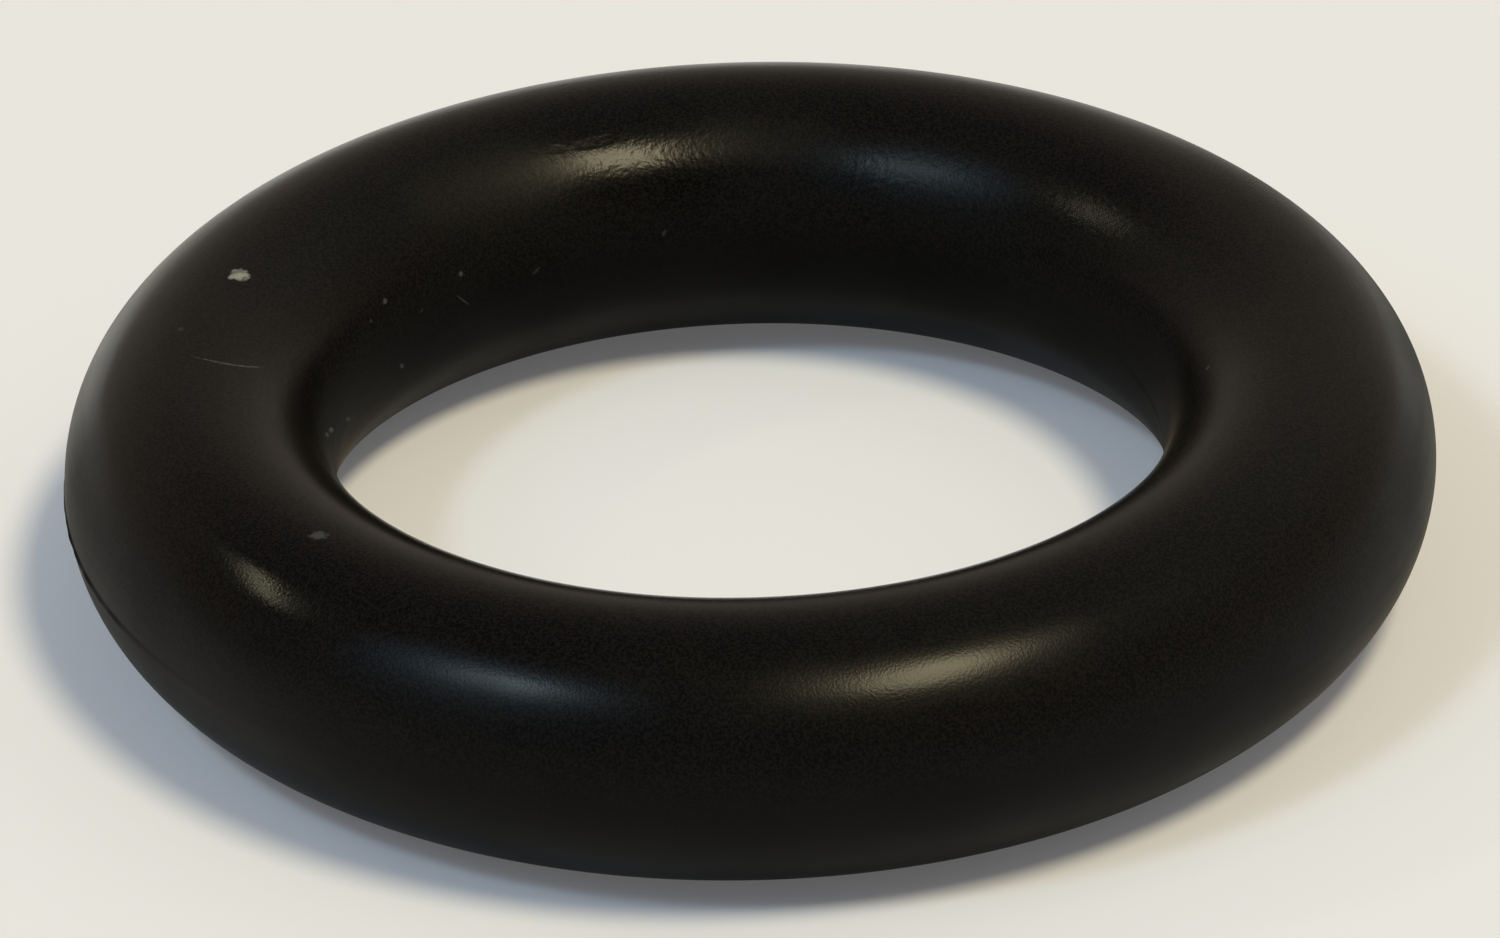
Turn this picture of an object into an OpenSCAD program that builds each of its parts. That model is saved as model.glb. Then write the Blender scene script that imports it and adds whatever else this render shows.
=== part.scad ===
// Moulded rubber O-ring, lying flat. Lengths are in millimetres.
// The origin is the middle of the ring, halfway up its section, and +Z is the ring's axis.

/* [Ring] */
// Inside diameter of the ring, measured on the round section
inner_d = 10.69; // [5:0.01:60]
// Diameter of the round section
section_d = 3.53; // [1.5:0.01:7]

/* [Parting ridge] */
// Width of the fine ridge that the mould's joint leaves round the inner and outer walls
ridge_w = 0.06; // [0.02:0.01:0.2]
// How far the ridge stands out of the round section
ridge_h = 0.03; // [0.01:0.01:0.12]

/* [Hidden] */
// Facets round the ring and round its section in a preview
$fn = 180;
// Warm black of the moulded rubber
rubber_colour = [0.11, 0.10, 0.09];
// Distance from the ring's axis to the middle of its section
centreline_r = inner_d / 2 + section_d / 2;

// Half of the ring's cut face: a disc with a flat-topped ridge on the inner and the outer side
module section() {
    circle(d = section_d);
    square([section_d + 2 * ridge_h, ridge_w], center = true);
}

// The whole ring, one solid
module o_ring() {
    color(rubber_colour)
        rotate_extrude()
            translate([centreline_r, 0])
                section();
}

o_ring();
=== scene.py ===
"""Looks of the moulded rubber O-ring: its mesh, satin rubber, lamps, floor and camera.

Lengths are in metres and angles in degrees, unless a name or comment says millimetres. A place on
the ring is given by two angles: ring, round the ring's axis from +X towards +Y, and section, round
the tube from its outer wall (0) over the crown (90) to its inner wall (180) and the underside (270).
"""

import math
from collections import namedtuple

import bpy
from mathutils import Matrix, Vector, noise


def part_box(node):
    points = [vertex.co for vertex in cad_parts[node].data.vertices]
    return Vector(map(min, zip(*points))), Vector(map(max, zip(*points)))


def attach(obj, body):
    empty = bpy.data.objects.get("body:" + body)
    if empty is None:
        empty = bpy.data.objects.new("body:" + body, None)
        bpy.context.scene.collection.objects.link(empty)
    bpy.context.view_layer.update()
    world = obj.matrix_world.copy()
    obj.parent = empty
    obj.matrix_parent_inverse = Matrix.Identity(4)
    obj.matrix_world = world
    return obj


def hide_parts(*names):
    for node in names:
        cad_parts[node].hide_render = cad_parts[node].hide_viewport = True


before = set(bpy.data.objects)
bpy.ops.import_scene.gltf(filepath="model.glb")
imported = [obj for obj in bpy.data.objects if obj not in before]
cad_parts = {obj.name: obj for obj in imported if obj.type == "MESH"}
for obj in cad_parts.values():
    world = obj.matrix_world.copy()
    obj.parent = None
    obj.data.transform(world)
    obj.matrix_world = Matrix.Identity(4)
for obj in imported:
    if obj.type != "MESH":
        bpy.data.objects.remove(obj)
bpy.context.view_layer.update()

MM = 0.001
NODE = "o_ring"

# Ring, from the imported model
HIGH_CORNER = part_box(NODE)[1]
RIDGE_HEIGHT = 0.03 * MM
RIDGE_WIDTH = 0.06 * MM
SECTION_R = HIGH_CORNER.z
RING_R = HIGH_CORNER.x - RIDGE_HEIGHT - SECTION_R

# Mesh density: steps round the ring, degrees between rows, and offsets of the closer rows at a ridge
RING_STEPS = 512
SECTION_STEP = 2.5
RIDGE_OFFSETS = (0.0, 0.35, 0.6, 0.8, 1.0, 1.25, 1.6, 2.1, 2.8, 3.8)

# Section angles of the parting ridge: a little low on the outer wall, as in the photo, level inside
OUTER_RIDGE_AT = -2.8
INNER_RIDGE_AT = 180.0

# Where the parting ridge was left standing: ring angle, reach along the ring, and share of its height
OUTER_RIDGE = ((-169, 15, 0.95), (95, 60, 0.6))
INNER_RIDGE = ((10, 12, 0.15), (-95, 60, 0.5))
RIDGE_LEFT = 0.01

# How uneven the ridge's height is round the ring, and how far it wanders up and down
RIDGE_EVEN = 0.75
RIDGE_UNEVEN = 0.6
RIDGE_RIPPLES = 11
RIDGE_WANDER = 0.3

# Circle through the noise that a ridge follows: its radius, and its height for each wall
WALK_RADIUS = 3
WALK_HEIGHT_OUTER = 2.0
WALK_HEIGHT_INNER = 7.0

# The ridge's flat top and its feet, in halves of its width
RIDGE_TOP = 0.4
RIDGE_FOOT_ABOVE = 2.0
RIDGE_FOOT_BELOW = 3.9

# Camera, found by fitting the ring's outline in the photo, with its lens and sensor in millimetres
CAMERA_DISTANCE = 22.08 * RING_R
CAMERA_ELEVATION = 29.74
CAMERA_ROLL = 1.61
CAMERA_LENS = 291.1
SENSOR_WIDTH = 36.0
CAMERA_CLIP_START = 0.01
AIM_BELOW_CENTRE = 0.0253 * RING_R

# Pale floor, of which the camera and reflections see a share as plain white
FLOOR_HALF = 1.5
FLOOR_COLOUR = (0.79, 0.80, 0.90)
FLOOR_ROUGHNESS = 0.9
FLOOR_WHITE_SHARE = 0.10

# Studio: dim in front and cooler on the left there, a warm pale wall behind, brighter above on the right
WORLD_FRONT_LEFT = (0.06, 0.085, 0.145)
WORLD_FRONT_RIGHT = (0.05, 0.045, 0.04)
WORLD_BACK = (0.42, 0.36, 0.29)
WORLD_ABOVE_LEFT = (0.25, 0.225, 0.21)
WORLD_ABOVE_RIGHT = (0.54, 0.52, 0.45)

# Where one part of the studio passes into the next, by X, Y or Z of the direction
FRONT_LEFT_TO_RIGHT = (-0.6, 0.4)
ABOVE_LEFT_TO_RIGHT = (-0.3, 0.7)
BACK_TO_ABOVE = (0.2, 0.8)
FRONT_TO_BACK = (-0.9, 0.0)

# Lamps: their direction, half the angles that they fill, the turn of their wide axis from level,
# and their level, which is their light on a surface that faces them (1 shows white as white).
LAMP_DISTANCE = 0.6
Lamp = namedtuple("Lamp", "azimuth elevation wide tall turn level colour")
LAMPS = {
    "warm_lamp": Lamp(-38.5, 66.0, 11.2, 6.0, 27, 0.64, (1.0, 0.875, 0.55)),
    "cool_lamp": Lamp(-145.5, 53.5, 6.4, 4.2, -38, 0.16, (0.78, 0.97, 1.0)),
    "cool_glow": Lamp(-150.5, 50.0, 17.0, 13.0, -45, 0.11, (0.34, 0.66, 1.0)),
    "small_lamp": Lamp(159.0, 40.8, 8.2, 1.1, -20, 0.042, (1.0, 0.94, 0.60)),
}

# Rubber, from the dark to the pale side of its grain (the dark side is also painted over the whole lower
# half as painted shade), its dust and lint, and its gloss
RUBBER_DARK = (0.0002, 0.0001, 0.0001)
RUBBER_PALE = (0.0056, 0.0046, 0.0045)
DUST_COLOUR = (0.080, 0.085, 0.090)
LINT_SHADE = (0.12, 0.12, 0.11)
LINT_COLOUR = (0.26, 0.26, 0.25)
IOR = 1.5
SPECULAR_LEVEL = 0.115

# Warm bloom on the rubber
BLOOM_WEIGHT = 0.035
BLOOM_ROUGHNESS = 0.2
BLOOM_COLOUR = (1.0, 0.86, 0.36)

# Roughness of the skin, and what each thing adds to it, except the dirt, which has its own
ROUGHNESS = 0.25
CLOUD_ROUGHNESS = 0.03
FLOW_ROUGHNESS = 0.08
LOWER_AND_OUTER_ROUGHNESS = 0.28
INNER_WALL_ROUGHNESS = 0.45
RIDGE_ROUGHNESS = 0.45
DIRT_ROUGHNESS = 0.9

# Where these begin and are full, in section radii up or out from the middle of the tube
LOWER_HALF = (0.35, -0.20)
# The grain's pale side begins and is full over this upper part; below it the rubber is painted darker, a
# painted shade on the underside
PAINTED_SHADE_UPPER_HALF = (-0.20, 0.35)
INNER_WALL = (-0.78, -1.0)
OUTER_WALL = (0.65, 0.98)

# Noise in the skin: its cells to a millimetre, or to a section radius for the flow marks, and its detail
GRAIN_NOISE = (27.0, 1.0)
LUMP_NOISE = (11.0, 1.0)
CLOUD_NOISE = (0.55, 2.0)
RAGGED_NOISE = (16.0, 2.0)
FLOW_NOISE = (11.0, 2.0)

# Flow marks along the ring (less is longer), raggedness of the marks' edges, and the noises' ends
FLOW_ALONG = 0.5
RAGGEDNESS = 1.8
NOISE_ENDS = (0.3, 0.7)
GRAIN_ENDS = (0.35, 0.65)

# Heights in the skin, and the share of lumps and flow marks that skin which isn't coarse keeps
LUMP_MM = 0.0038
FLOW_MM = 0.0010
GRAIN_MM = 0.0015
SCUFF_DEPTH_MM = 0.0030
SMOOTH_SHARE = 0.10

# Stretches of skin that are duller than the rest, or glossier below 0, and coarser.
# Each is full within its core, which is a share of its reach.
Patch = namedtuple("Patch", "ring section reach_mm duller coarser")
PATCH_CORE = 0.3
SKIN = (
    Patch(-138.0, 58.0, 2.6, -0.10, 0.0),
    Patch(106.0, 130.0, 2.6, -0.05, 0.8),
    Patch(125.0, 130.0, 1.8, 0.24, 0.5),
    Patch(87.0, 130.0, 1.6, 0.11, 0.2),
    Patch(76.0, 134.0, 1.0, -0.03, 0.3),
    Patch(63.0, 134.0, 2.4, 0.06, 1.0),
    Patch(38.0, 130.0, 2.0, -0.07, 1.0),
    Patch(24.0, 20.0, 5.0, 0.18, 0.0),
    Patch(174.0, 15.0, 2.2, -0.12, 0.0),
)

# Marks: place, size along the ring and round the tube, turn from the ring's direction, bend, strength.
# A mark's core and edge are squares of the distance from its middle, in halves of its size.
Mark = namedtuple("Mark", "ring section length_mm width_mm turn bend_mm strength")
MARK_EDGE = 1.15
DUST = (
    Mark(148.4, 152.3, 0.12, 0.09, 0, 0, 0.6),
    Mark(152.9, 155.0, 0.08, 0.06, 0, 0, 0.3),
    Mark(148.0, -176.0, 0.16, 0.08, -36, 0, 0.6),
    Mark(133.3, 159.8, 0.10, 0.08, 0, 0, 0.7),
    Mark(134.0, 171.1, 0.34, 0.03, -47, 0, 0.35),
    Mark(142.2, 165.7, 0.12, 0.05, 20, 0, 0.2),
    Mark(121.0, 171.1, 0.16, 0.05, 30, 0, 0.25),
    Mark(101.3, 166.4, 0.12, 0.05, 60, 0, 0.3),
    Mark(167.3, 178.7, 0.26, 0.07, -30, 0, 0.45),
    Mark(178.3, 165.0, 0.38, 0.08, -28, 0, 0.8),
    Mark(-177.9, 160.4, 0.33, 0.07, -28, 0, 0.7),
    Mark(-138.6, 85.7, 0.28, 0.20, 40, 0, 0.5),
    Mark(175.0, 82.6, 0.12, 0.10, 0, 0, 0.2),
    Mark(-3.3, 132.2, 0.10, 0.08, 0, 0, 0.35),
    Mark(-177.9, 105.4, 0.055, 1.1, 4, -0.25, 0.5),
)

# Pale lint, full over its core and less ragged than dust
LINT = (
    Mark(162.7, 97.4, 0.33, 0.27, 20, 0, 1.0),
    Mark(163.3, 94.9, 0.20, 0.10, -10, 0, 0.9),
)
LINT_CORE = 0.3
LINT_RAGGED_SHARE = 0.7

# Scuffs that leave shallow grooves in the skin, hardly ragged at their edges
SCUFFS = (
    Mark(108.3, 121.5, 0.80, 0.20, 3, 0, 1.0),
    Mark(113.3, 121.0, 0.40, 0.16, -8, 0, 0.7),
)
SCUFF_RAGGED_SHARE = 0.2

# Sockets of the Mix node for colours
MIX_A, MIX_B, MIX_RESULT = 6, 7, 2


def polar(azimuth, elevation):
    """Unit vector towards a compass direction, azimuth from +X towards +Y."""
    a, e = math.radians(azimuth), math.radians(elevation)
    return Vector((math.cos(e) * math.cos(a), math.cos(e) * math.sin(a), math.sin(e)))


def on_tube(ring, section, height=0.0):
    """Point on the tube at two angles, a height above its round section."""
    t, s = math.radians(ring), math.radians(section)
    out = RING_R + (SECTION_R + height) * math.cos(s)
    return Vector((out * math.cos(t), out * math.sin(t), (SECTION_R + height) * math.sin(s)))


def turned(angle):
    """The same angle between -180 and 180."""
    return (angle + 180) % 360 - 180


def smooth(low, high, value):
    """0 below low, 1 above high, and a smooth step between."""
    x = min(1.0, max(0.0, (value - low) / (high - low)))
    return x * x * (3 - 2 * x)


def section_angles():
    """Angles round the tube's section, close together at the ridges on its two walls."""
    near = RIDGE_OFFSETS[-1] + 0.5 * SECTION_STEP
    angles = []
    for k in range(round(360 / SECTION_STEP)):
        angle = k * SECTION_STEP
        to_ridge = min(abs(turned(angle - OUTER_RIDGE_AT)), abs(turned(angle - INNER_RIDGE_AT)))
        if to_ridge > near:
            angles.append(angle)
    for wall in (OUTER_RIDGE_AT, INNER_RIDGE_AT):
        for offset in RIDGE_OFFSETS:
            angles.append((wall + offset) % 360)
            if offset:
                angles.append((wall - offset) % 360)
    return sorted(angles)


def ridge_share(ring, section):
    """Share of the parting ridge's full height at a place on the tube."""
    inner = 90 < section < 270
    wall, stretches = (INNER_RIDGE_AT, INNER_RIDGE) if inner else (OUTER_RIDGE_AT, OUTER_RIDGE)

    # A circle through the noise, so that the ridge closes on itself
    t = math.radians(ring)
    height = WALK_HEIGHT_INNER if inner else WALK_HEIGHT_OUTER
    walk = Vector((WALK_RADIUS * math.cos(t), WALK_RADIUS * math.sin(t), height))

    standing = RIDGE_LEFT
    for middle, reach, share in stretches:
        standing += share * math.exp(-((turned(ring - middle) / reach) ** 2))
    standing *= RIDGE_EVEN + RIDGE_UNEVEN * noise.noise(walk * RIDGE_RIPPLES)
    offset = turned(section - wall) - RIDGE_WANDER * noise.noise(walk)
    half = math.degrees(0.5 * RIDGE_WIDTH / SECTION_R)
    below = offset > 0 if inner else offset < 0
    foot = RIDGE_FOOT_BELOW * half if below else RIDGE_FOOT_ABOVE * half
    return min(1.0, standing) * (1 - smooth(RIDGE_TOP * half, foot, abs(offset)))


def ring_mesh():
    """The whole ring as one closed grid of quads, with the ridge's share kept at each point."""
    angles = section_angles()
    rows = len(angles)
    points, shares = [], []
    for i in range(RING_STEPS):
        ring = 360 * i / RING_STEPS
        for section in angles:
            share = ridge_share(ring, section)
            shares.append(share)
            points.append(on_tube(ring, section, RIDGE_HEIGHT * share))
    faces = []
    for i in range(RING_STEPS):
        a, b = i * rows, (i + 1) % RING_STEPS * rows
        for j in range(rows):
            k = (j + 1) % rows
            faces.append((a + j, b + j, b + k, a + k))
    mesh = bpy.data.meshes.new("ring")
    mesh.from_pydata(points, [], faces)
    mesh.attributes.new("ridge", "FLOAT", "POINT").data.foreach_set("value", shares)
    unwrap(mesh, angles)
    mesh.polygons.foreach_set("use_smooth", [True] * len(mesh.polygons))
    mesh.update()
    return mesh


def unwrap(mesh, angles):
    """Lay the grid out flat, ring angle across and section angle up. The first angle is 0."""
    rows = len(angles)
    uv = mesh.uv_layers.new(name="OFBake")
    for face in mesh.polygons:
        i, j = divmod(face.index, rows)
        top = angles[j + 1] if j + 1 < rows else 360.0
        corners = ((i, angles[j]), (i + 1, angles[j]), (i + 1, top), (i, top))
        for loop, (u, v) in zip(face.loop_indices, corners):
            uv.data[loop].uv = (u / RING_STEPS, v / 360)


class Nodes:
    """Short calls that add a node to a tree and return its output."""

    def __init__(self, tree):
        self.tree = tree

    def add(self, kind, inputs=(), **settings):
        """A node with its settings, and its inputs by name or number as values or other outputs."""
        node = self.tree.nodes.new(kind)
        for name, value in settings.items():
            setattr(node, name, value)
        for name, value in dict(inputs).items():
            if isinstance(value, bpy.types.NodeSocket):
                self.tree.links.new(value, node.inputs[name])
            else:
                node.inputs[name].default_value = value
        return node

    def math(self, operation, a, b=0.0):
        return self.add("ShaderNodeMath", {0: a, 1: b}, operation=operation).outputs[0]

    def sum(self, *terms):
        total = terms[0]
        for term in terms[1:]:
            total = self.math("ADD", total, term)
        return total

    def times(self, a, b):
        return self.math("MULTIPLY", a, b)

    def highest(self, *terms):
        top = terms[0]
        for term in terms[1:]:
            top = self.math("MAXIMUM", top, term)
        return top

    def step(self, value, low, high, start=0.0, end=1.0):
        """start where value is at low, end where it is at high, and a smooth step between."""
        inputs = {"Value": value, "From Min": low, "From Max": high, "To Min": start, "To Max": end}
        return self.add("ShaderNodeMapRange", inputs, interpolation_type="SMOOTHSTEP").outputs["Result"]

    def vector(self, operation, a, b=(0, 0, 0)):
        node = self.add("ShaderNodeVectorMath", {0: a, 1: b}, operation=operation)
        return node.outputs["Value" if operation in ("DOT_PRODUCT", "DISTANCE") else "Vector"]

    def noise(self, place, scale, detail, w=None):
        """Noise between 0 and 1 around 0.5, in four dimensions where w is given."""
        inputs = {"Vector": place, "Scale": scale, "Detail": detail}
        if w is None:
            return self.add("ShaderNodeTexNoise", inputs).outputs["Fac"]
        inputs["W"] = w
        return self.add("ShaderNodeTexNoise", inputs, noise_dimensions="4D").outputs["Fac"]

    def mix(self, share, a, b):
        """Colour a where share is 0, b where it is 1."""
        node = self.add("ShaderNodeMix", {0: share}, data_type="RGBA")
        for socket, colour in ((node.inputs[MIX_A], a), (node.inputs[MIX_B], b)):
            if isinstance(colour, tuple):
                socket.default_value = (*colour, 1)
            else:
                self.tree.links.new(colour, socket)
        return node.outputs[MIX_RESULT]


def mark_mask(n, place, ragged, mark, core=0.0):
    """Mask of one mark: a ragged oval on the skin, full over its core, bent where bend_mm isn't 0."""
    t, s, a = (math.radians(angle) for angle in (mark.ring, mark.section, mark.turn))
    round_ring = Vector((-math.sin(t), math.cos(t), 0))
    round_tube = Vector((-math.sin(s) * math.cos(t), -math.sin(s) * math.sin(t), math.cos(s)))
    outward = round_ring.cross(round_tube)
    along = math.cos(a) * round_ring + math.sin(a) * round_tube
    across = math.cos(a) * round_tube - math.sin(a) * round_ring
    offset = n.vector("SUBTRACT", place, tuple(on_tube(mark.ring, mark.section) / MM))
    x = n.vector("DOT_PRODUCT", offset, tuple(along * (2 / mark.length_mm)))
    y = n.vector("DOT_PRODUCT", offset, tuple(across * (2 / mark.width_mm)))
    z = n.vector("DOT_PRODUCT", offset, tuple(outward))
    if mark.bend_mm:
        x = n.math("SUBTRACT", x, n.times(n.times(y, y), 2 * mark.bend_mm / mark.length_mm))
    reach = n.sum(n.times(x, x), n.times(y, y), n.times(z, z), ragged)
    return n.step(reach, core, MARK_EDGE, mark.strength, 0.0)


def patch_mask(n, place, patch):
    """Mask of one stretch of skin, 1 in its middle and 0 beyond its reach."""
    distance = n.vector("DISTANCE", place, tuple(on_tube(patch.ring, patch.section) / MM))
    return n.step(distance, PATCH_CORE * patch.reach_mm, patch.reach_mm, 1.0, 0.0)


def ring_places(n):
    """Place in millimetres, place for the flow marks, and section radii out and up from mid-tube."""
    place = n.vector("SCALE", n.add("ShaderNodeTexCoord").outputs["Object"])
    place.node.inputs["Scale"].default_value = 1 / MM
    x, y, z = n.add("ShaderNodeSeparateXYZ", {0: place}).outputs
    out = n.math("SQRT", n.sum(n.times(x, x), n.times(y, y)))
    tube_out = n.math("DIVIDE", n.math("SUBTRACT", out, RING_R / MM), SECTION_R / MM)
    tube_up = n.math("DIVIDE", z, SECTION_R / MM)
    flow_place = n.add("ShaderNodeCombineXYZ", {
        0: n.times(n.math("DIVIDE", x, out), FLOW_ALONG),
        1: n.times(n.math("DIVIDE", y, out), FLOW_ALONG),
        2: tube_out,
    }).outputs[0]
    return place, flow_place, tube_out, tube_up


def rubber():
    """Satin black rubber: fine grain, painted shade on its lower half, flow marks round the ring,
    coarser stretches, dust and lint.
    """
    material = bpy.data.materials.new("rubber")
    material.use_nodes = True
    n = Nodes(material.node_tree)
    place, flow_place, tube_out, tube_up = ring_places(n)

    grain = n.noise(place, *GRAIN_NOISE)
    lumps = n.noise(place, *LUMP_NOISE)
    clouds = n.noise(place, *CLOUD_NOISE)
    flow = n.noise(flow_place, *FLOW_NOISE, tube_up)
    ragged = n.times(n.math("SUBTRACT", n.noise(place, *RAGGED_NOISE), 0.5), RAGGEDNESS)
    lint_ragged = n.times(ragged, LINT_RAGGED_SHARE)
    scuff_ragged = n.times(ragged, SCUFF_RAGGED_SHARE)

    masks = [patch_mask(n, place, patch) for patch in SKIN]
    duller = n.sum(*(n.times(mask, patch.duller) for mask, patch in zip(masks, SKIN)))
    coarser = n.highest(*(n.times(mask, patch.coarser) for mask, patch in zip(masks, SKIN)))
    lower_or_outer = n.highest(n.step(tube_up, *LOWER_HALF), n.step(tube_out, *OUTER_WALL))
    inner_wall = n.step(tube_out, *INNER_WALL)
    ridge = n.add("ShaderNodeAttribute", attribute_name="ridge").outputs["Fac"]
    dust = n.highest(*(mark_mask(n, place, ragged, mark) for mark in DUST))
    lint = n.highest(*(mark_mask(n, place, lint_ragged, mark, LINT_CORE) for mark in LINT))
    scuff = n.highest(*(mark_mask(n, place, scuff_ragged, mark) for mark in SCUFFS))

    roughness = n.sum(
        n.step(clouds, *NOISE_ENDS, ROUGHNESS - CLOUD_ROUGHNESS, ROUGHNESS + CLOUD_ROUGHNESS),
        n.times(n.math("SUBTRACT", flow, 0.5), FLOW_ROUGHNESS),
        duller,
        n.highest(
            n.times(lower_or_outer, LOWER_AND_OUTER_ROUGHNESS),
            n.times(inner_wall, INNER_WALL_ROUGHNESS),
        ),
        n.times(ridge, RIDGE_ROUGHNESS),
    )
    roughness = n.highest(roughness, n.times(dust, DIRT_ROUGHNESS), n.times(lint, DIRT_ROUGHNESS))

    # The pale side of the grain shows on the upper half only; the lower half keeps the dark side, a
    # painted shade that darkens the rubber's underside
    pale_grain_above_painted_shade_below = n.times(n.step(grain, *GRAIN_ENDS), n.step(tube_up, *PAINTED_SHADE_UPPER_HALF))
    skin = n.mix(pale_grain_above_painted_shade_below, RUBBER_DARK, RUBBER_PALE)
    fluff = n.mix(n.step(lumps, *NOISE_ENDS), LINT_SHADE, LINT_COLOUR)
    colour = n.mix(lint, n.mix(dust, skin, DUST_COLOUR), fluff)

    # Height of the skin in millimetres
    coarse = n.sum(n.times(lumps, LUMP_MM), n.times(flow, FLOW_MM))
    height = n.sum(
        n.times(coarse, n.step(coarser, 0.0, 1.0, SMOOTH_SHARE, 1.0)),
        n.times(grain, GRAIN_MM),
        n.times(scuff, -SCUFF_DEPTH_MM),
    )
    normal = n.add("ShaderNodeBump", {"Height": height, "Distance": MM}).outputs["Normal"]

    shader = material.node_tree.nodes["Principled BSDF"]
    for name, output in (("Base Color", colour), ("Roughness", roughness), ("Normal", normal)):
        material.node_tree.links.new(output, shader.inputs[name])
    shader.inputs["IOR"].default_value = IOR
    shader.inputs["Specular IOR Level"].default_value = SPECULAR_LEVEL
    shader.inputs["Sheen Weight"].default_value = BLOOM_WEIGHT
    shader.inputs["Sheen Roughness"].default_value = BLOOM_ROUGHNESS
    shader.inputs["Sheen Tint"].default_value = (*BLOOM_COLOUR, 1)
    return material


def pale_floor():
    """Matt floor that keeps its shadow, and shows a share of plain white to the camera and gloss."""
    material = bpy.data.materials.new("pale_floor")
    material.use_nodes = True
    material.cycles.emission_sampling = "NONE"
    n = Nodes(material.node_tree)
    shader = material.node_tree.nodes["Principled BSDF"]
    shader.inputs["Base Color"].default_value = (*FLOOR_COLOUR, 1)
    shader.inputs["Roughness"].default_value = FLOOR_ROUGHNESS
    shader.inputs["Specular IOR Level"].default_value = 0.0
    white = n.add("ShaderNodeEmission", {"Strength": 1.0}).outputs[0]
    rays = n.add("ShaderNodeLightPath").outputs
    seen = n.highest(rays["Is Camera Ray"], rays["Is Glossy Ray"], rays["Is Transmission Ray"])
    share = n.times(seen, FLOOR_WHITE_SHARE)
    mixed = n.add("ShaderNodeMixShader", {0: share, 1: shader.outputs[0], 2: white}).outputs[0]
    surface = material.node_tree.nodes["Material Output"].inputs["Surface"]
    material.node_tree.links.new(mixed, surface)
    return material


def make_ring():
    piece = bpy.data.objects.new("o_ring_rubber", ring_mesh())
    bpy.context.scene.collection.objects.link(piece)
    piece.data.materials.append(rubber())
    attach(piece, "root")
    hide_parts(NODE)


def make_floor():
    h = FLOOR_HALF
    mesh = bpy.data.meshes.new("floor")
    mesh.from_pydata([(-h, -h, 0), (h, -h, 0), (h, h, 0), (-h, h, 0)], [], [(0, 1, 2, 3)])
    mesh.materials.append(pale_floor())
    floor = bpy.data.objects.new("floor", mesh)
    floor.location.z = -SECTION_R
    bpy.context.scene.collection.objects.link(floor)


def placed(obj, place, right, up, back):
    """Put an object at a place with its own axes along three directions, and add it to the scene."""
    obj.matrix_world = Matrix.Translation(place) @ Matrix((right, up, back)).transposed().to_4x4()
    bpy.context.scene.collection.objects.link(obj)


def make_lamp(name, lamp):
    """Oval lamp that faces the ring."""
    data = bpy.data.lights.new(name, "AREA")
    data.shape = "ELLIPSE"
    data.size = 2 * LAMP_DISTANCE * math.tan(math.radians(lamp.wide))
    data.size_y = 2 * LAMP_DISTANCE * math.tan(math.radians(lamp.tall))
    data.energy = lamp.level * math.pi * math.pi * LAMP_DISTANCE ** 2
    data.color = lamp.colour
    back = polar(lamp.azimuth, lamp.elevation)
    level = polar(lamp.azimuth + 90, 0)
    turn = math.radians(lamp.turn)
    right = math.cos(turn) * level + math.sin(turn) * back.cross(level)
    placed(bpy.data.objects.new(name, data), back * LAMP_DISTANCE, right, back.cross(right), back)


def make_world():
    world = bpy.data.worlds.new("studio")
    bpy.context.scene.world = world
    world.use_nodes = True
    n = Nodes(world.node_tree)
    direction = n.add("ShaderNodeTexCoord").outputs["Generated"]
    x, y, z = n.add("ShaderNodeSeparateXYZ", {0: direction}).outputs
    front = n.mix(n.step(x, *FRONT_LEFT_TO_RIGHT), WORLD_FRONT_LEFT, WORLD_FRONT_RIGHT)
    above = n.mix(n.step(x, *ABOVE_LEFT_TO_RIGHT), WORLD_ABOVE_LEFT, WORLD_ABOVE_RIGHT)
    behind = n.mix(n.step(z, *BACK_TO_ABOVE), WORLD_BACK, above)
    colour = n.mix(n.step(y, *FRONT_TO_BACK), front, behind)
    world.node_tree.links.new(colour, world.node_tree.nodes["Background"].inputs["Color"])


def make_camera():
    data = bpy.data.cameras.new("camera")
    data.lens = CAMERA_LENS
    data.sensor_width = SENSOR_WIDTH
    data.clip_start = CAMERA_CLIP_START
    back = polar(-90, CAMERA_ELEVATION)
    place = back * CAMERA_DISTANCE
    right = Vector((1, 0, 0))
    roll = math.radians(CAMERA_ROLL)
    up = math.cos(roll) * back.cross(right) + math.sin(roll) * right
    back = (place + up * AIM_BELOW_CENTRE).normalized()
    right = up.cross(back).normalized()
    camera = bpy.data.objects.new("camera", data)
    placed(camera, place, right, back.cross(right), back)
    bpy.context.scene.camera = camera


make_camera()
make_ring()
make_floor()
for lamp_name, lamp in LAMPS.items():
    make_lamp(lamp_name, lamp)
make_world()
bpy.context.scene.view_settings.view_transform = "Standard"
